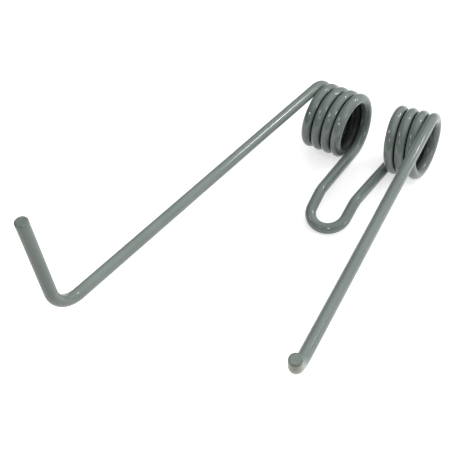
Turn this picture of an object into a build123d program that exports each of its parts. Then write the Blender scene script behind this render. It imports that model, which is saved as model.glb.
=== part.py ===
from build123d import *
from math import atan2, cos, degrees, pi, radians, sin
import os

# Rake spring tine, bent and coiled from one length of round spring wire.
# Sizes are in millimetres and degrees, and lengths and radii follow the wire's centre line.
# The wire leaves a U loop at the middle in the same way on both sides: a lower arm, a shallow
# bend, an upper arm, a close-wound coil, a long straight leg and a foot bent up at its end.
# The two coils wind as mirror images. The left one has a turn more, and its leg is longer.
#
# Frame: the origin is the centre of the loop, where the clamp bolt goes through. +X runs to
# the right along the coils, +Y from the loop back to the coils, and +Z is up. The tine lies as
# it comes to rest, on the bottom of the loop and the undersides of the two coils.

# Wire, and the rounding of its two cropped ends
WIRE_DIAMETER = 9.0
RIM_RADIUS = 1.2

# Loop and arms. LOOP_TURN_ANGLE is the turn from the loop's bottom to each arm, short of a
# right angle by the arms' splay. ARM_BEND_ANGLE is how far the upper arms drop out of the
# loop's plane.
LOOP_RADIUS = 15.0
LOOP_TURN_ANGLE = 88.5
LOWER_ARM = 11.0
ARM_BEND_RADIUS = 25.0
ARM_BEND_ANGLE = 25.5
UPPER_ARM = 61.5

# Coils. The pitch leaves a hair's gap between the turns, and the tilt raises the outer end
# of each coil's axis.
COIL_RADIUS = 24.25
COIL_PITCH = 9.2
COIL_TILT_ANGLE = 2.0

# Left side: full turns, the part turn after them that sets the leg, the leg and its foot
LEFT_TURNS = 4
LEFT_LEG_SET_ANGLE = 185.0
LEFT_LEG = 291.0
LEFT_FOOT_BEND_ANGLE = 81.5
LEFT_FOOT_LEAN_ANGLE = 0.0
LEFT_FOOT = 69.5

# Right side: one turn less, a shorter leg, and a stub of a foot that leans outwards
RIGHT_TURNS = 3
RIGHT_LEG_SET_ANGLE = 183.0
RIGHT_LEG = 277.5
RIGHT_FOOT_BEND_ANGLE = 71.5
RIGHT_FOOT_LEAN_ANGLE = 10.5
RIGHT_FOOT = 7.0

# Both feet are bent round the same former.
FOOT_BEND_RADIUS = 23.5

# Points looked at along a coil to find its lowest one
COIL_SAMPLES = 1500


def straight(before, length):
    """A straight run that carries on from the end of the span before it."""
    start = before @ 1
    return Line(start, start + (before % 1) * length)


def bend(start, heading, toward, radius, angle):
    """A round bend that turns the wire by an angle, from its heading to the side of toward."""
    turn = radians(angle)
    end = start + (heading * sin(turn) + toward * (1 - cos(turn))) * radius
    return TangentArc(start, end, tangent=heading)


def coil_frame(side, entry, heading):
    """The coil's own plane: its origin is on the axis, Z runs along it to the outside of the
    tine, and X points at the place where the wire comes in.

    The wire meets the axis at a right angle less the lead angle of the helix. At that angle,
    the axis starts from the loop's cross direction and is tilted about the wire.
    """
    lead = atan2(COIL_PITCH, 2 * pi * COIL_RADIUS)
    tilt = radians(COIL_TILT_ANGLE)
    across = Vector(side, 0, 0)
    level = (across - heading * across.dot(heading)).normalized()
    square = level * cos(tilt) + level.cross(heading) * (side * sin(tilt))
    axis = heading * sin(lead) + square * cos(lead)
    around = (heading - axis * heading.dot(axis)).normalized()
    outward = around.cross(axis) * side
    return Plane(origin=entry - outward * COIL_RADIUS, x_dir=outward, z_dir=axis)


def half_wire(side, turns, leg_set, leg_length, foot_bend, foot_lean, foot_length):
    """The spans of one half of the wire, from the loop's bottom to the cropped end of its foot.

    side is -1 for the left half and 1 for the right half.
    """
    with BuildLine():
        loop = bend(Vector(0, -LOOP_RADIUS, 0), Vector(side, 0, 0), Vector(0, 1, 0),
                    LOOP_RADIUS, LOOP_TURN_ANGLE)
        lower_arm = straight(loop, LOWER_ARM)
        arm_bend = bend(lower_arm @ 1, lower_arm % 1, Vector(0, 0, -1),
                        ARM_BEND_RADIUS, ARM_BEND_ANGLE)
        upper_arm = straight(arm_bend, UPPER_ARM)

        frame = coil_frame(side, upper_arm @ 1, upper_arm % 1)
        height = COIL_PITCH * (turns + leg_set / 360)
        helix = Helix(COIL_PITCH, height, COIL_RADIUS, lefthand=side < 0, mode=Mode.PRIVATE)
        coil = (frame * helix).edge()

        leg = straight(coil, leg_length)
        from_axis = leg @ 0 - (frame.origin + frame.z_dir * height)
        outward = (from_axis - frame.z_dir * from_axis.dot(frame.z_dir)).normalized()
        sideways = outward.cross(leg % 1) * side
        lean = radians(foot_lean)
        foot_curve = bend(leg @ 1, leg % 1, outward * cos(lean) + sideways * sin(lean),
                          FOOT_BEND_RADIUS, foot_bend)
        foot = straight(foot_curve, foot_length)
    return [loop, lower_arm, arm_bend, upper_arm, coil, leg, foot_curve, foot]


def drop_angle(point):
    """How far a point of the wire lies below the loop's plane, seen from the loop's bottom."""
    return degrees(atan2(-point.Z, point.Y + LOOP_RADIUS))


left_spans = half_wire(-1, LEFT_TURNS, LEFT_LEG_SET_ANGLE, LEFT_LEG,
                       LEFT_FOOT_BEND_ANGLE, LEFT_FOOT_LEAN_ANGLE, LEFT_FOOT)
right_spans = half_wire(1, RIGHT_TURNS, RIGHT_LEG_SET_ANGLE, RIGHT_LEG,
                        RIGHT_FOOT_BEND_ANGLE, RIGHT_FOOT_LEAN_ANGLE, RIGHT_FOOT)

# The wire, drawn with the loop level
with BuildPart() as bent_wire:
    for span in left_spans + right_spans:
        with BuildSketch(Plane(origin=span @ 0, z_dir=span % 0)):
            Circle(WIRE_DIAMETER / 2)
        sweep(path=span, is_frenet=span.geom_type == GeomType.BSPLINE)
    cropped_ends = bent_wire.faces().filter_by(GeomType.PLANE)
    fillet(cropped_ends.edges(), RIM_RADIUS)

# Tipped up about X until the loop and the coils stand on one level surface
rest_angle = max(
    drop_angle(span @ (sample / COIL_SAMPLES))
    for span in left_spans + right_spans
    if span.geom_type == GeomType.BSPLINE
    for sample in range(COIL_SAMPLES + 1)
)
with BuildPart() as spring_tine:
    add(bent_wire.part, rotation=(rest_angle, 0, 0))

os.makedirs("parts", exist_ok=True)
spring_tine.part.label = "spring_tine"
export_step(spring_tine.part, "parts/spring_tine.step")

wire_length = sum(span.length for span in left_spans + right_spans)
print(f"rest angle {rest_angle:.3f} degrees, wire length {wire_length:.1f} mm, "
      f"volume {spring_tine.part.volume:.0f} mm3, box {spring_tine.part.bounding_box()}")
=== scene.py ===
# %% [markdown]
# # A rake spring tine in gloss enamel
#
# The object is one length of round spring wire. It is bent in the middle to a U loop, which a
# bolt clamps to the rake. From there each half runs through an arm, a close-wound coil and a
# long leg to a foot that is bent up at its end. The whole tine was dipped in grey-green enamel.
#
# The imported CAD model comes first. It is the fixed frame: every piece here sits where the CAD
# says, so nothing is fitted by eye. The bottom of its box gives the height of the floor.

# %% Load the imported model
from math import atan2, cos, pi, radians, sin

import bpy
import numpy as np
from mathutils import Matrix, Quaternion, Vector


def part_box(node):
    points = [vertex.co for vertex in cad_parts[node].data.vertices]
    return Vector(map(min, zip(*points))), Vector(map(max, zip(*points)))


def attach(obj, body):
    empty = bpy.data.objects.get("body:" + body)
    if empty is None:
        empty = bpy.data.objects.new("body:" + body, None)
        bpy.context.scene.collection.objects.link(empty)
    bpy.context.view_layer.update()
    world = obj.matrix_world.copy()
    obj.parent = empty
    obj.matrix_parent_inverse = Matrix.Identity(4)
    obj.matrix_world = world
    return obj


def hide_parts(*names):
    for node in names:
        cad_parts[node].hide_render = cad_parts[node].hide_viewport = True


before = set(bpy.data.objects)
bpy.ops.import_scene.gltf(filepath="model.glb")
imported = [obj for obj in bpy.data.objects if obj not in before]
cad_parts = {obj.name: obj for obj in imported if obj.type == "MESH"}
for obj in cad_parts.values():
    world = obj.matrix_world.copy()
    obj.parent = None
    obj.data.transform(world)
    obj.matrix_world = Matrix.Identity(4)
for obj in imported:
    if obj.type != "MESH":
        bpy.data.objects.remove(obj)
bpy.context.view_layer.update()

CAD_NODE = "spring_tine"
FLOOR_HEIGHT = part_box(CAD_NODE)[0].z

# %% [markdown]
# ## The wire's sizes
#
# A wire bender needs only a short list: straight lengths, bend radii and bend angles, and for
# each coil its radius, pitch and turns. The same list drives the model here. Lengths are in
# metres and follow the centre line of the wire. The two halves differ only in the turns of
# their coils, the length of their legs and the shape of their feet.
#
# The wire is 9 mm thick. Its smooth skin is drawn 0.04 mm thinner here, because the CAD mesh
# is made of flat facets, and the skin has to stay inside their box.

# %% Sizes of the wire
WIRE_RADIUS = 0.00448
RIM_RADIUS = 0.0012

LOOP_RADIUS = 0.015
LOOP_TURN = radians(88.5)
LOWER_ARM = 0.011
ARM_BEND_RADIUS = 0.025
ARM_BEND = radians(25.5)
UPPER_ARM = 0.0615

COIL_RADIUS = 0.02425
COIL_PITCH = 0.0092
COIL_LEAD = atan2(COIL_PITCH, 2 * pi * COIL_RADIUS)
COIL_TILT = radians(2)

FOOT_BEND_RADIUS = 0.0235

LEFT_HALF = {
    "side": -1, "turns": 4, "leg set": radians(185), "leg": 0.291,
    "foot bend": radians(81.5), "foot lean": 0.0, "foot": 0.0695,
}
RIGHT_HALF = {
    "side": 1, "turns": 3, "leg set": radians(183), "leg": 0.2775,
    "foot bend": radians(71.5), "foot lean": radians(10.5), "foot": 0.007,
}

# %% [markdown]
# ## Every span is a screw motion
#
# The wire is a chain of straight runs, round bends and coils. They could be curve objects with
# a bevel, but a bevelled curve twists where it likes. Here one idea makes all three. Take the
# ring of the wire at the start of a span, turn it about an axis and slide it along that axis.
# With no turn it draws a straight run, with no slide a round bend, and with both a coil. The
# ring moves as a stiff body, so the surface never twists or pinches, and the ring that ends one
# span starts the next.

# %% Turn vectors about an axis
def turned(vector, axis, angles):
    """The vector, turned about a unit axis by each of the angles.

    Rodrigues' formula: the part along the axis stays, and the part across it is multiplied by
    the cosine and joined by the cross product of the axis and the vector times the sine.
    """
    angles = np.asarray(angles, float)[:, None]
    along = axis * np.dot(axis, vector)
    return along + (vector - along) * np.cos(angles) + np.cross(axis, vector) * np.sin(angles)


# %% Carry a ring along one span
RING_STEP = 0.0018
STRAIGHT_STEP = 0.006


def carry(ring, length, axis=None, reach=0.0, turn=0.0):
    """Rings along one span, from the ring that starts it.

    A ring is its centre, its heading and the direction of its seam. On a curved span the axis
    is a unit direction, reach is the vector from the axis to the ring's centre, and turn is the
    whole angle. Each ring's centre is the axis point, plus the turned reach, plus the slide
    that is left over when the turning has used up its share of the length.
    """
    centre, heading, seam = ring
    steps = max(2, round(length / (STRAIGHT_STEP if axis is None else RING_STEP)))
    share = np.linspace(0, 1, steps + 1)
    if axis is None:
        centres = centre + heading * (share * length)[:, None]
        headings = np.repeat(heading[None], steps + 1, axis=0)
        seams = np.repeat(seam[None], steps + 1, axis=0)
        return centres, headings, seams
    angles = share * turn
    slide = length * np.dot(axis, heading)
    centres = centre - reach + turned(reach, axis, angles) + axis * (share * slide)[:, None]
    return centres, turned(heading, axis, angles), turned(seam, axis, angles)


def last_ring(rings):
    """The ring that ends a span, to start the next one."""
    return tuple(values[-1] for values in rings)


def bend_axis(heading, toward):
    """The axis of a round bend: square to the heading and to the side that the wire bends to."""
    axis = np.cross(heading, toward)
    return axis / np.linalg.norm(axis)


# %% [markdown]
# ## Half of the wire
#
# Each half starts at the bottom of the loop and is bent like its mirror image. In the coil, the
# wire stands at the lead angle to the cross-section of the coil. The axis is therefore square
# to the wire less that small angle. It points to the side, with its outer end tilted up a bit.

# %% Chain the spans of one half
def round_bend(ring, radius, toward, angle):
    """A bend that turns the ring's heading by an angle to the side of toward."""
    centre, heading, seam = ring
    return carry(ring, radius * angle, bend_axis(heading, toward), -toward * radius, angle)


def coil(ring, side, turns, leg_set):
    """The coil and the direction of its axis, to the outside of the tine."""
    heading = ring[1]
    across = np.array([side, 0.0, 0.0])
    level = across - heading * np.dot(across, heading)
    level /= np.linalg.norm(level)
    square = level * cos(COIL_TILT) + np.cross(level, heading) * side * sin(COIL_TILT)
    axis = heading * sin(COIL_LEAD) + square * cos(COIL_LEAD)
    around = heading - axis * np.dot(heading, axis)
    around /= np.linalg.norm(around)
    reach = np.cross(around, axis) * side * COIL_RADIUS
    turn = (2 * pi * turns + leg_set) * side
    length = abs(turn) * COIL_RADIUS / cos(COIL_LEAD)
    return carry(ring, length, axis, reach, turn), axis


def half_wire(half):
    """The spans of one half, from the loop's bottom to where the foot's rim begins."""
    side = half["side"]
    across, back, up = np.eye(3)
    loop_bottom = (-back * LOOP_RADIUS, across * side, up)
    spans = [round_bend(loop_bottom, LOOP_RADIUS, back, LOOP_TURN)]
    spans.append(carry(last_ring(spans[-1]), LOWER_ARM))
    spans.append(round_bend(last_ring(spans[-1]), ARM_BEND_RADIUS, -up, ARM_BEND))
    spans.append(carry(last_ring(spans[-1]), UPPER_ARM))
    wound, axis = coil(last_ring(spans[-1]), side, half["turns"], half["leg set"])
    spans.append(wound)

    # The foot bends away from the axis of the coil, and may lean to the outside
    leg_heading = wound[1][-1]
    outward = np.cross(leg_heading, axis) * side
    outward /= np.linalg.norm(outward)
    sideways = np.cross(outward, leg_heading) * side
    toward = outward * cos(half["foot lean"]) + sideways * sin(half["foot lean"])
    spans.append(carry(last_ring(spans[-1]), half["leg"]))
    spans.append(round_bend(last_ring(spans[-1]), FOOT_BEND_RADIUS, toward, half["foot bend"]))
    spans.append(carry(last_ring(spans[-1]), half["foot"] - RIM_RADIUS))
    return spans


def joined(spans):
    """All rings of the spans in one chain, with each shared ring kept once."""
    first = [values[:1] for values in spans[0]]
    rest = [np.concatenate([span[k][1:] for span in spans]) for k in range(3)]
    return [np.concatenate([first[k], rest[k]]) for k in range(3)]


left_spans, right_spans = half_wire(LEFT_HALF), half_wire(RIGHT_HALF)
left_rings, right_rings = joined(left_spans), joined(right_spans)
print("rings:", len(left_rings[0]), "left and", len(right_rings[0]), "right")

# %% [markdown]
# ## One chain from foot to foot
#
# The left half is walked backwards, so that one chain runs from the left foot through the loop
# to the right foot. Walking backwards turns the heading round and leaves the seam where it was.
# Then the tine is tipped up about the side-to-side axis until its loop and its coils stand on
# one level surface, which is how it comes to rest.

# %% Join the halves and stand the tine on its loop and coils
centres = np.concatenate([left_rings[0][:0:-1], right_rings[0]])
headings = np.concatenate([-left_rings[1][:0:-1], right_rings[1]])
seams = np.concatenate([left_rings[2][:0:-1], right_rings[2]])

COIL_SPAN = 4
coil_centres = np.concatenate([left_spans[COIL_SPAN][0], right_spans[COIL_SPAN][0]])
drop = np.arctan2(-coil_centres[:, 2], coil_centres[:, 1] + LOOP_RADIUS)
rest_angle = float(drop.max())
print("tipped up by", round(np.degrees(rest_angle), 3), "degrees")


def tipped(vectors):
    """The vectors, turned about the side-to-side axis by the rest angle."""
    back = vectors[:, 1] * cos(rest_angle) - vectors[:, 2] * sin(rest_angle)
    up = vectors[:, 1] * sin(rest_angle) + vectors[:, 2] * cos(rest_angle)
    return np.stack([vectors[:, 0], back, up], axis=1)


centres, headings, seams = tipped(centres), tipped(headings), tipped(seams)

# %% [markdown]
# ## Cropped ends
#
# The wire is cropped square and its rim is rounded before the dip. The rim is a quarter round:
# as its angle goes from 0 to 90 degrees, the ring moves forward by the rim radius times the
# sine and shrinks by the rim radius times one less the cosine. Two more rings lie in the flat
# face, the first close to the rim, so that smooth shading keeps the face flat.

# %% Add the rings of the rim and the face
RIM_STEPS = 8
FACE_SHARES = (0.95, 0.5)


def cropped_end(centre, heading, seam):
    """Centres, headings, seams and radii that close the wire, in order away from it."""
    angles = np.linspace(0, pi / 2, RIM_STEPS + 1)[1:]
    forward = np.concatenate([RIM_RADIUS * np.sin(angles), [RIM_RADIUS] * len(FACE_SHARES)])
    face_radius = WIRE_RADIUS - RIM_RADIUS
    radii = np.concatenate([face_radius + RIM_RADIUS * np.cos(angles),
                            face_radius * np.array(FACE_SHARES)])
    count = len(forward)
    return (centre + heading * forward[:, None], np.repeat(heading[None], count, axis=0),
            np.repeat(seam[None], count, axis=0), radii)


left_end = cropped_end(centres[0], -headings[0], seams[0])
right_end = cropped_end(centres[-1], headings[-1], seams[-1])
radii = np.concatenate([left_end[3][::-1], np.full(len(centres), WIRE_RADIUS), right_end[3]])
centres = np.concatenate([left_end[0][::-1], centres, right_end[0]])
headings = np.concatenate([-left_end[1][::-1], headings, right_end[1]])
seams = np.concatenate([left_end[2][::-1], seams, right_end[2]])

# %% [markdown]
# ## The surface
#
# The surface is a function of two parameters: the ring, and the angle round it. A point is the
# ring's centre, plus the radius times the cosine of the angle along the seam direction, plus
# the radius times the sine along the direction square to the seam and the heading. The whole
# grid is one array. Each point also keeps where it was on the straight wire before bending, as
# the attribute straight_wire, so that marks in the finish can follow the wire round its bends.

# %% Build the mesh of the wire
POINTS_AROUND = 56


def wire_mesh(name):
    """The closed mesh of the wire: a grid of quads, and a fan of triangles on each end."""
    angles = np.linspace(0, 2 * pi, POINTS_AROUND, endpoint=False)
    across = np.cross(headings, seams)
    spokes = (np.cos(angles)[:, None] * seams[:, None] + np.sin(angles)[:, None] * across[:, None])
    grid = centres[:, None] + radii[:, None, None] * spokes
    points = np.concatenate([grid.reshape(-1, 3), centres[[0, -1]]])

    steps = np.linalg.norm(np.diff(centres, axis=0), axis=1)
    distance = np.concatenate([[0], np.cumsum(steps)])
    straight = np.stack([
        radii[:, None] * np.cos(angles),
        radii[:, None] * np.sin(angles),
        np.repeat(distance[:, None], POINTS_AROUND, axis=1),
    ], axis=2)
    ends = np.array([[0, 0, 0], [0, 0, distance[-1]]])
    straight = np.concatenate([straight.reshape(-1, 3), ends])

    index = np.arange(len(radii) * POINTS_AROUND).reshape(len(radii), POINTS_AROUND)
    beside = np.roll(index, -1, axis=1)
    quads = np.stack([index[:-1], beside[:-1], beside[1:], index[1:]], axis=2).reshape(-1, 4)
    first_pole, last_pole = len(points) - 2, len(points) - 1
    poles = np.full(POINTS_AROUND, first_pole), np.full(POINTS_AROUND, last_pole)
    fans = [np.stack([poles[0], beside[0], index[0]], axis=1),
            np.stack([poles[1], index[-1], beside[-1]], axis=1)]

    mesh = bpy.data.meshes.new(name)
    faces = quads.tolist() + fans[0].tolist() + fans[1].tolist()
    mesh.from_pydata(points.tolist(), [], faces)
    place = mesh.attributes.new("straight_wire", "FLOAT_VECTOR", "POINT")
    place.data.foreach_set("vector", straight.astype(np.float32).ravel())
    mesh.shade_smooth()
    print(name, "has", len(points), "points and", len(faces), "faces,",
          round(float(distance[-1]) * 1000, 1), "mm of wire")
    return mesh


bent_wire = bpy.data.objects.new("bent_wire", wire_mesh("bent_wire"))
bpy.context.scene.collection.objects.link(bent_wire)
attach(bent_wire, "root")
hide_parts(CAD_NODE)

# %% [markdown]
# ## Node trees
#
# A material is a small program made of nodes. Three helpers keep it short to write. The first
# adds a node, and gives each named socket either a plain value or the output of another node.
# The second spreads a range of values smoothly over another, and the third blends two colours.

# %% Add nodes
def add(tree, kind, name, sockets=None, **settings):
    """A new node with its settings, and a value or an output on each of the named sockets."""
    node = tree.nodes.new(kind)
    node.name = node.label = name
    for key, value in settings.items():
        setattr(node, key, value)
    for key, value in (sockets or {}).items():
        socket = node.inputs[key] if isinstance(key, int) else next(
            found for found in node.inputs if found.name == key and found.enabled)
        if isinstance(value, bpy.types.NodeSocket):
            tree.links.new(value, socket)
        else:
            socket.default_value = value
    return node


def spread(tree, name, value, low, high, at_low=0.0, at_high=1.0):
    """The value, with its range from low to high spread smoothly over at_low to at_high."""
    node = add(tree, "ShaderNodeMapRange", name, {
        "Value": value, "From Min": low, "From Max": high, "To Min": at_low, "To Max": at_high,
    }, interpolation_type="SMOOTHSTEP")
    return node.outputs["Result"]


def blend(tree, name, share, first, second):
    """The first colour where the share is 0 and the second where it is 1."""
    node = add(tree, "ShaderNodeMix", name, {
        "Factor": share, "A": first, "B": second}, data_type="RGBA")
    return next(found for found in node.outputs if found.enabled)


def maths(tree, name, operation, *values):
    """A sum, product, minimum or the like of values and outputs."""
    return add(tree, "ShaderNodeMath", name, dict(enumerate(values)),
               operation=operation).outputs["Value"]


# %% [markdown]
# ## Two sets of coordinates for the enamel
#
# What comes to the tine from outside, such as the clouds of the dip and the dust in it, reads
# Object coordinates. They are metres here, so a noise scale of 400 makes bumps of 2.5 mm. What
# belongs to the wire, such as the lines that the drawing die left, reads the straight_wire
# attribute, because those lines follow the wire round every bend.

# %% Start the enamel
enamel = bpy.data.materials.new("enamel")
enamel.use_nodes = True
nodes = enamel.node_tree
shader = nodes.nodes["Principled BSDF"]
place = add(nodes, "ShaderNodeTexCoord", "place").outputs["Object"]
wire = add(nodes, "ShaderNodeAttribute", "wire",
           attribute_name="straight_wire").outputs["Vector"]
bent_wire.data.materials.append(enamel)
print(bent_wire.name, "wears", enamel.name)

# %% [markdown]
# ## Colour of the dip
#
# Dipped enamel is never one flat colour. Where the film ran thick it is a bit paler, and where
# it is thin the darker steel shows through. A broad noise makes these clouds, and a fine one
# the speckle of the pigment. Together they change the colour by about a fifth at most.

# %% Clouds and speckle
DIP_THIN = (0.168, 0.205, 0.186, 1)
DIP_THICK = (0.205, 0.243, 0.225, 1)
CLOUD_SCALE = 26.0
CLOUD_RANGE = (0.3, 0.7)
SPECKLE_SCALE = 520.0
SPECKLE_RANGE = (0.25, 0.75)
SPECKLE_SHARE = 0.35


def noise(name, vector, scale, detail, grain):
    """A noise with bumps about 1/scale metres wide.

    Detail is how many finer noises are added to it, and grain is how strong they are.
    """
    return add(nodes, "ShaderNodeTexNoise", name, {
        "Vector": vector, "Scale": scale, "Detail": detail, "Roughness": grain}).outputs[0]


clouds = noise("clouds", place, CLOUD_SCALE, 3.0, 0.55)
speckle = noise("speckle", place, SPECKLE_SCALE, 2.0, 0.6)
cloudy = spread(nodes, "cloudy", clouds, *CLOUD_RANGE)
speckled = spread(nodes, "speckled", speckle, *SPECKLE_RANGE)
film = add(nodes, "ShaderNodeMix", "film", {
    "Factor": SPECKLE_SHARE, "A": cloudy, "B": speckled}).outputs[0]
dip = blend(nodes, "dip", film, DIP_THIN, DIP_THICK)
print("enamel from", DIP_THIN[:3], "to", DIP_THICK[:3])

# %% [markdown]
# ## Lines from the drawing die
#
# Spring wire is pulled cold through a die, which leaves faint lines along it. They show through
# the thin film when a light slides along a leg. Squeezing the noise's coordinates along the
# wire to a few hundredths of their length draws each spot of noise out to a long line.

# %% Draw the die's lines
LINE_STRETCH = 0.03
LINE_SCALE = 640.0

die_coordinates = add(nodes, "ShaderNodeMapping", "along the wire", {
    "Vector": wire, "Scale": (1, 1, LINE_STRETCH)}).outputs["Vector"]
die_lines = noise("die lines", die_coordinates, LINE_SCALE, 2.0, 0.5)
print("die lines are drawn out", round(1 / LINE_STRETCH), "times along the wire")

# %% [markdown]
# ## Thin film on the cropped rims
#
# Wet enamel draws back from a sharp edge, so the film is thinnest on the rims of the two
# cropped ends, and they are the first to rub bare. The distance from the rim is worked out on
# the straight wire: one leg is how far a point lies in from the wire's skin, the other how far
# it lies from the nearer end. The crop was never quite even, so a noise frays the border.

# %% Distance from the rims
WIRE_LENGTH = float(np.linalg.norm(np.diff(centres, axis=0), axis=1).sum())

wire_parts = add(nodes, "ShaderNodeSeparateXYZ", "parts of the wire", {"Vector": wire}).outputs


def longest_side(name, first, second):
    """The long side of a right triangle: the root of the sum of the squares of its legs."""
    squares = [maths(nodes, name + " square", "MULTIPLY", leg, leg) for leg in (first, second)]
    return maths(nodes, name, "SQRT", maths(nodes, name + " sum", "ADD", *squares))


from_middle = longest_side("out from the middle", wire_parts[0], wire_parts[1])
from_skin = maths(nodes, "in from the skin", "SUBTRACT", WIRE_RADIUS, from_middle)
to_far_end = maths(nodes, "to the right end", "SUBTRACT", WIRE_LENGTH, wire_parts[2])
from_end = maths(nodes, "from the nearer end", "MINIMUM", wire_parts[2], to_far_end)
from_rim = longest_side("from the rim", from_skin, from_end)
print("wire length", round(WIRE_LENGTH * 1000, 1), "mm")

# %% Mask the rims
RIM_REACH = 0.0019
RIM_CORE = 0.3
RIM_FRAY = 0.0025
FRAY_SCALE = 900.0

fray = maths(nodes, "fray about zero", "SUBTRACT", noise("fray", place, FRAY_SCALE, 3.0, 0.6), 0.5)


def frayed(name, distance, fray_depth):
    """The distance, made uneven by up to about half the fray depth either way."""
    return maths(nodes, name, "ADD", distance, maths(
        nodes, name + " depth", "MULTIPLY", fray, fray_depth))


frayed_rim = frayed("frayed rim", from_rim, RIM_FRAY)
rim_mask = spread(nodes, "rim mask", frayed_rim, RIM_CORE * RIM_REACH, RIM_REACH, 1.0, 0.0)
print("thin film up to", round(RIM_REACH * 1000, 1), "mm from each rim")

# %% [markdown]
# ## A stained foot
#
# The outside of the right foot's bend is stained a dull olive. It looks like enamel that ran
# down there while the tine hung by its loop to dry, and that caught dust. The stain could be
# painted on an image. A soft ball around a point on the outside of the bend, with a frayed
# border, needs none. It stops at the rim, so the cropped face stays grey.

# %% Mask the stain
FOOT_BEND_SPAN = 6
STAIN_REACH = 0.017
STAIN_CORE = 0.4
STAIN_SHARE_OF_BEND = 0.85
STAIN_FRAY = 0.006
FACE_BORDER = 0.3 * RIM_RADIUS

bend_centres, bend_headings = right_spans[FOOT_BEND_SPAN][:2]
stain_ring = round(STAIN_SHARE_OF_BEND * (len(bend_centres) - 1))
bend_outside = bend_headings[stain_ring - 1] - bend_headings[stain_ring]
bend_outside /= np.linalg.norm(bend_outside)
stain_place = tipped((bend_centres[stain_ring] + bend_outside * WIRE_RADIUS)[None])[0]
from_stain = add(nodes, "ShaderNodeVectorMath", "from the stain", {
    0: place, 1: tuple(stain_place)}, operation="DISTANCE").outputs["Value"]
frayed_stain = frayed("frayed stain", from_stain, STAIN_FRAY)
off_the_face = spread(nodes, "off the face", from_skin, FACE_BORDER, RIM_RADIUS, 1.0, 0.0)
stain_mask = maths(nodes, "stain", "MULTIPLY", off_the_face, spread(
    nodes, "stain ball", frayed_stain, STAIN_CORE * STAIN_REACH, STAIN_REACH, 1.0, 0.0))
print("stain at", stain_place.round(4).tolist())

# %% [markdown]
# ## Painted shade on the long foot
#
# The long left foot is painted darker and greener than its leg. That is painted shade: its side
# that faces the camera lies in shade, and the lamps here leave it too light. A second material
# would end in a hard line. A mask fades instead, and the distance along the wire from the left
# end tells where.

# %% Mask the long foot
FOOT_SHADE_END = 0.12
FOOT_SHADE_FADE = 0.05

# Painted shade: darkens the long left foot, fading out along its leg.
foot_shade_mask = spread(nodes, "shaded foot", wire_parts[2], FOOT_SHADE_END - FOOT_SHADE_FADE,
                   FOOT_SHADE_END, 1.0, 0.0)
print("painted shade on the first", FOOT_SHADE_END * 1000, "mm of the wire")

# %% [markdown]
# ## Painted shade in the gaps and bores
#
# The turns of a coil lie so close that little light gets between them or deep into the coil.
# That shade is painted into the enamel's colour: near black on the sides where turns touch and
# on the inside of the coil. A screw motion carries the ring of the wire as a stiff body. The
# outside of the coil is therefore at one and the same angle round the wire all along it, and so
# is the side that touches the next turn. Two dot products with those two directions find both
# places, and distances along the wire tell where a coil begins and ends. The coils are mirror
# images, so one pair of directions serves both. Inside the coil, the painted shade is faint on
# most of the first turn in from each end, where light gets in through the open end.

# %% Find the directions round the wire
bend_steps = -np.diff(right_spans[COIL_SPAN][1], axis=0)
middle_step = len(bend_steps) // 2
ring_heading, ring_seam = (values[middle_step] for values in right_spans[COIL_SPAN][1:])
out_of_coil = bend_steps[middle_step] / np.linalg.norm(bend_steps[middle_step])
to_next_turn = np.cross(ring_heading, out_of_coil)
to_next_turn *= np.sign(to_next_turn[0])
ring_across = np.cross(ring_heading, ring_seam)
OUT_OF_COIL = (float(out_of_coil @ ring_seam), float(out_of_coil @ ring_across), 0)
TO_NEXT_TURN = (float(to_next_turn @ ring_seam), float(to_next_turn @ ring_across), 0)
print("out of the coil", np.round(OUT_OF_COIL, 3), "to the next turn", np.round(TO_NEXT_TURN, 3))

# %% Find where the coils begin and end
def span_length(span):
    """The length of a span's centre line."""
    return float(np.linalg.norm(np.diff(span[0], axis=0), axis=1).sum())


ONE_TURN = 2 * pi * COIL_RADIUS / cos(COIL_LEAD)
LOOP_BOTTOM = RIM_RADIUS + sum(span_length(span) for span in left_spans)
COIL_START = sum(span_length(span) for span in left_spans[:COIL_SPAN])
LEFT_COIL_END = COIL_START + span_length(left_spans[COIL_SPAN])
RIGHT_COIL_END = COIL_START + span_length(right_spans[COIL_SPAN])
print("coils begin", round(COIL_START * 1000, 1), "mm from the loop's bottom and end after",
      round(LEFT_COIL_END * 1000, 1), "and", round(RIGHT_COIL_END * 1000, 1), "mm")

# %% Measure along the coils
BORDER = 0.012

from_bottom = maths(nodes, "from the loop bottom", "SUBTRACT", wire_parts[2], LOOP_BOTTOM)
on_left = maths(nodes, "on the left", "LESS_THAN", from_bottom, 0.0)
coil_end = add(nodes, "ShaderNodeMix", "coil end", {
    "Factor": on_left, "A": RIGHT_COIL_END, "B": LEFT_COIL_END}).outputs[0]
walked = maths(nodes, "walked", "ABSOLUTE", from_bottom)
into_coil = maths(nodes, "into the coil", "SUBTRACT", walked, COIL_START)
to_coil_end = maths(nodes, "to the coil end", "SUBTRACT", coil_end, walked)
to_nearer_end = maths(nodes, "to the nearer end", "MINIMUM", into_coil, to_coil_end)
in_coil = spread(nodes, "in the coil", to_nearer_end, 0.0, BORDER)
print("one turn of wire is", round(ONE_TURN * 1000, 1), "mm long")

# %% Measure round the wire
flat_wire = add(nodes, "ShaderNodeVectorMath", "flat", {0: wire, 1: (1, 1, 0)},
                operation="MULTIPLY").outputs["Vector"]
round_wire = add(nodes, "ShaderNodeVectorMath", "round", {0: flat_wire},
                 operation="NORMALIZE").outputs["Vector"]
outward = add(nodes, "ShaderNodeVectorMath", "outward", {0: round_wire, 1: OUT_OF_COIL},
              operation="DOT_PRODUCT").outputs["Value"]
sideward = add(nodes, "ShaderNodeVectorMath", "sideward", {0: round_wire, 1: TO_NEXT_TURN},
               operation="DOT_PRODUCT").outputs["Value"]

# %% Mask the gaps
GAP_EDGE, GAP_MIDDLE = 0.8, 0.98


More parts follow.
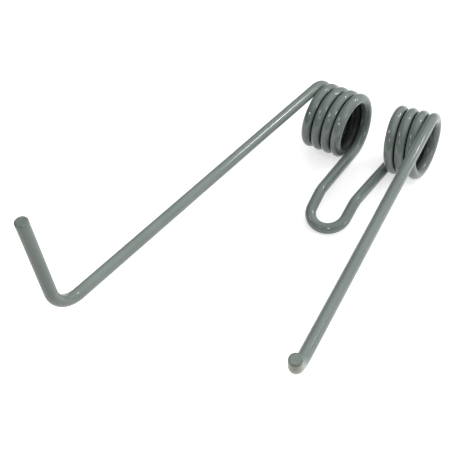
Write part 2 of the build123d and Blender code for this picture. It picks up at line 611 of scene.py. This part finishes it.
def gap(name, sign, from_end_of_coil):
    """The side of the wire that faces a turn, where there is one more turn on that side."""
    facing = spread(nodes, name + " side", sideward, sign * GAP_EDGE, sign * GAP_MIDDLE)
    has_turn = spread(nodes, name + " turn", from_end_of_coil, ONE_TURN - BORDER, ONE_TURN + BORDER)
    return maths(nodes, name + " gap", "MULTIPLY", facing, has_turn)


gaps = maths(nodes, "gaps", "MAXIMUM", gap("outer", 1, to_coil_end), gap("inner", -1, into_coil))

# %% Mask the bores, and put the masks together
BORE_EDGE, BORE_MIDDLE = -0.1, -0.6
SHALLOW_TURNS, DEEP_TURNS = 0.25, 0.9
SHALLOW_SHARE = 0.1

deep = spread(nodes, "deep", to_nearer_end, SHALLOW_TURNS * ONE_TURN, DEEP_TURNS * ONE_TURN,
              SHALLOW_SHARE, 1.0)
bore = maths(nodes, "bore", "MULTIPLY", deep, spread(
    nodes, "inward", outward, BORE_EDGE, BORE_MIDDLE))
# Painted shade: near black in the gaps between turns and inside the bores, darker deeper in.
painted_shade_mask = maths(nodes, "painted_shade_mask", "MULTIPLY", in_coil, maths(
    nodes, "bore and gaps", "MAXIMUM", bore, gaps))
print("bores are painted dark from", DEEP_TURNS, "turns in")

# %% [markdown]
# ## Colour
#
# The layers lie over each other from the bottom up: the dip, the painted shade on the long foot,
# the stain, the thin rims and the painted shade in the gaps and bores. Each one blends in its own
# colour where its mask says, up to a share that leaves a little of the layers below.

# %% Lay the colours over each other
# Each layer has a name, a mask, a largest share and a colour
LAYERS = (
    # Painted shade on the long left foot.
    ("painted foot shade", foot_shade_mask, 0.6, (0.108, 0.139, 0.112, 1)),
    ("olive stain", stain_mask, 0.8, (0.148, 0.163, 0.085, 1)),
    ("bare rim", rim_mask, 0.35, (0.105, 0.108, 0.095, 1)),
    # Painted shade: near black in the gaps and bores.
    ("painted black shade", painted_shade_mask, 0.98, (0.008, 0.010, 0.009, 1)),
)

colour = dip
for name, mask, share, layer_colour in LAYERS:
    masked = maths(nodes, name + " share", "MULTIPLY", mask, share)
    colour = blend(nodes, name, masked, colour, layer_colour)
nodes.links.new(colour, shader.inputs["Base Color"])
print("layers on the dip:", ", ".join(layer[0] for layer in LAYERS))

# %% [markdown]
# ## Gloss
#
# Where the film is thick it levels out and shines most. Worn and stained places are rougher, and
# the gaps and bores under their painted shade are nearly matt. That is a matter of roughness alone.

# %% Set the roughness
THIN_ROUGHNESS = 0.15
THICK_ROUGHNESS = 0.07
WORN_EXTRA = 0.2
SHADE_EXTRA = 0.5

film_roughness = spread(nodes, "film roughness", film, 0.0, 1.0, THIN_ROUGHNESS, THICK_ROUGHNESS)
worn_extra = maths(nodes, "worn extra", "MULTIPLY", maths(
    nodes, "wear", "MAXIMUM", rim_mask, stain_mask), WORN_EXTRA)
# The gaps and bores with painted shade are also rougher.
shade_extra = maths(nodes, "shade extra", "MULTIPLY", painted_shade_mask, SHADE_EXTRA)
roughness = maths(nodes, "roughness", "ADD", film_roughness, maths(
    nodes, "extra roughness", "ADD", shade_extra, worn_extra))
nodes.links.new(roughness, shader.inputs["Roughness"])
print("roughness from", THICK_ROUGHNESS, "on thick film to", THIN_ROUGHNESS + SHADE_EXTRA, "in the painted shade")

# %% [markdown]
# ## Bump
#
# Dipped enamel is never quite level. It has the soft dimples called orange peel, the die's lines
# show through, and a few nibs stand up where dust fell in while it was wet. All of them together
# are a few thousandths of a millimetre high, so they show in the highlights alone.

# %% Add the bump
PEEL_SCALE = 380.0
PEEL_HEIGHT = 0.35
LINE_HEIGHT = 0.25
NIB_SCALE = 75.0
NIB_RADIUS = 0.05
NIB_HEIGHT = 0.6
BUMP_DEPTH = 0.0001
BUMP_STRENGTH = 0.07

peel = noise("orange peel", place, PEEL_SCALE, 1.0, 0.4)
nib_cells = add(nodes, "ShaderNodeTexVoronoi", "nibs", {
    "Vector": place, "Scale": NIB_SCALE, "Randomness": 1.0}).outputs["Distance"]
nibs = spread(nodes, "nib shape", nib_cells, 0.0, NIB_RADIUS, 1.0, 0.0)
height = maths(nodes, "height", "ADD", maths(nodes, "peel height", "MULTIPLY", peel, PEEL_HEIGHT),
               maths(nodes, "lines and nibs", "ADD",
                     maths(nodes, "line height", "MULTIPLY", die_lines, LINE_HEIGHT),
                     maths(nodes, "nib height", "MULTIPLY", nibs, NIB_HEIGHT)))
bump = add(nodes, "ShaderNodeBump", "bump", {
    "Strength": BUMP_STRENGTH, "Distance": BUMP_DEPTH, "Height": height})
nodes.links.new(bump.outputs["Normal"], shader.inputs["Normal"])
print("nodes in the enamel:", len(nodes.nodes))

# %% [markdown]
# ## Floor
#
# The tine lies on a plain white table. The table's own colour is white, and it gets a little
# glow that only the camera and mirror-like rays see, so that its far parts come out pure white
# while the soft shadow under the tine stays.

# %% Lay the floor
FLOOR_HALF = 12.0
FLOOR_GLOW = 0.6
TABLE_WHITE = (0.8, 0.8, 0.8, 1)
TABLE_ROUGHNESS = 0.9

floor_mesh = bpy.data.meshes.new("floor")
corners = [(x * FLOOR_HALF, y * FLOOR_HALF, FLOOR_HEIGHT)
           for x, y in ((-1, -1), (1, -1), (1, 1), (-1, 1))]
floor_mesh.from_pydata(corners, [], [(0, 1, 2, 3)])
floor = bpy.data.objects.new("floor", floor_mesh)
bpy.context.scene.collection.objects.link(floor)
table_white = bpy.data.materials.new("table_white")
table_white.use_nodes = True
table = table_white.node_tree
rays = add(table, "ShaderNodeLightPath", "rays").outputs
seen = maths(table, "seen or mirrored", "MAXIMUM", rays["Is Camera Ray"], maths(
    table, "mirrored", "MAXIMUM", rays["Is Glossy Ray"], rays["Is Transmission Ray"]))
table_shader = table.nodes["Principled BSDF"]
table_shader.inputs["Base Color"].default_value = TABLE_WHITE
table_shader.inputs["Roughness"].default_value = TABLE_ROUGHNESS
table_shader.inputs["Emission Color"].default_value = (1, 1, 1, 1)
table.links.new(maths(table, "glow", "MULTIPLY", seen, FLOOR_GLOW),
                table_shader.inputs["Emission Strength"])
floor_mesh.materials.append(table_white)
print("floor at", round(FLOOR_HEIGHT * 1000, 1), "mm")

# %% [markdown]
# ## World
#
# The world is a soft tent of light. It is brightest up behind the tine, on the right, and dims
# towards the camera, so that the fronts of the coils fall into shade. The cosine of the angle
# between a direction and the brightest one tells how bright the tent is there.

# %% Light the tent
BRIGHT_AZIMUTH = radians(50)
BRIGHT_ELEVATION = radians(48)
DIM_LIGHT = 0.06
BRIGHT_LIGHT = 1.2
DIM_COSINE = 0.2
BRIGHT_COSINE = 0.95

world = bpy.data.worlds.new("studio")
bpy.context.scene.world = world
world.use_nodes = True
tent = world.node_tree
bright_side = (sin(BRIGHT_AZIMUTH) * cos(BRIGHT_ELEVATION),
               cos(BRIGHT_AZIMUTH) * cos(BRIGHT_ELEVATION), sin(BRIGHT_ELEVATION))
direction = add(tent, "ShaderNodeTexCoord", "direction").outputs["Generated"]
toward_bright = add(tent, "ShaderNodeVectorMath", "toward the bright side", {
    0: direction, 1: bright_side}, operation="DOT_PRODUCT").outputs["Value"]
background = tent.nodes["Background"]
background.inputs["Color"].default_value = (1, 1, 1, 1)
tent_light = spread(tent, "tent light", toward_bright, DIM_COSINE, BRIGHT_COSINE,
                    DIM_LIGHT, BRIGHT_LIGHT)
tent.links.new(tent_light, background.inputs["Strength"])
print("tent light from", DIM_LIGHT, "to", BRIGHT_LIGHT)

# %% [markdown]
# ## Lamps
#
# Gloss enamel tells where every lamp stands. A lamp shows as a bright spot on each turn of the
# coils, and as a streak along a straight run if it stands at the right slant to it. A large lamp
# far behind draws the streak on the left leg and the spots on top of the coils, and a tiny one
# close behind gives the right leg its glint. One far on the right and three close in front put
# the spots on the flanks and the fronts of the turns. All are bright but look small from the
# tine, so they add sparkle and only a little light.

# %% Set up the lamps
COILS_MIDDLE = Vector((0.0, 0.08, 0.02))


def lamp(name, place, width, brightness):
    """A round lamp that looks at the coils, and that the camera doesn't see.

    Its power is its brightness times four times its area, so that a brightness of 1 is white.
    """
    data = bpy.data.lights.new(name, "AREA")
    data.shape = "DISK"
    data.size = width
    area = pi * width ** 2 / 4
    data.energy = brightness * 4 * area
    made = bpy.data.objects.new(name, data)
    bpy.context.scene.collection.objects.link(made)
    made.location = place
    made.rotation_mode = "QUATERNION"
    made.rotation_quaternion = (Vector(place) - COILS_MIDDLE).to_track_quat("Z", "Y")
    made.visible_camera = False
    print(name, "gives", round(data.energy, 3), "watts")


lamp("back_lamp", (2.57, 3.97, 3.69), width=0.72, brightness=26)
lamp("glint_lamp", (0.169, 0.306, 0.1395), width=0.015, brightness=60)
lamp("right_lamp", (1.18, -0.09, 0.52), width=0.24, brightness=9)
lamp("left_lamp", (-0.30, -0.10, 0.30), width=0.08, brightness=16)
lamp("front_left_lamp", (-0.21, -0.41, 0.37), width=0.08, brightness=12)
lamp("front_lamp", (0.044, -0.289, 0.258), width=0.05, brightness=15)

# %% [markdown]
# ## Camera
#
# The camera stands where the one that took the photo stood. Its place, angles and focal length
# come from a fit of the wire's path to the outline in the photo. The photo is a crop of a larger
# picture, so the axis of the lens meets it beside its middle, and the shift allows for that.

# %% Set up the camera
CAMERA_PLACE = Vector((0.24796, -0.50789, 0.53262))
VIEW_AZIMUTH = radians(30.283)
VIEW_ELEVATION = radians(45.351)
VIEW_ROLL = radians(-2.8315)
PHOTO_SIDE = 455
FOCAL_LENGTH_PIXELS = 964.23
SENSOR = 36
NEAR_CLIP = 0.01
PHOTO_MIDDLE = 227
AXIS_COLUMN = 278.033
AXIS_ROW = 247.5

look = Vector((-sin(VIEW_AZIMUTH) * cos(VIEW_ELEVATION), cos(VIEW_AZIMUTH) * cos(VIEW_ELEVATION),
               -sin(VIEW_ELEVATION)))
camera_data = bpy.data.cameras.new("camera")
camera = bpy.data.objects.new("camera", camera_data)
bpy.context.scene.collection.objects.link(camera)
camera.location = CAMERA_PLACE
camera.rotation_mode = "QUATERNION"
camera.rotation_quaternion = look.to_track_quat("-Z", "Y") @ Quaternion((0, 0, 1), VIEW_ROLL)
camera_data.sensor_width = SENSOR
camera_data.lens = FOCAL_LENGTH_PIXELS * SENSOR / PHOTO_SIDE
camera_data.shift_x = (PHOTO_MIDDLE - AXIS_COLUMN) / PHOTO_SIDE
camera_data.shift_y = (AXIS_ROW - PHOTO_MIDDLE) / PHOTO_SIDE
camera_data.clip_start = NEAR_CLIP
bpy.context.scene.camera = camera
bpy.context.scene.view_settings.view_transform = "Standard"
print("lens", round(camera_data.lens, 1), "mm, shift", round(camera_data.shift_x, 3),
      round(camera_data.shift_y, 3))

# %% [markdown]
#
# The smooth wire has to stay inside the box of the CAD model, because the two share one frame.

# %% Update the scene
bpy.context.view_layer.update()
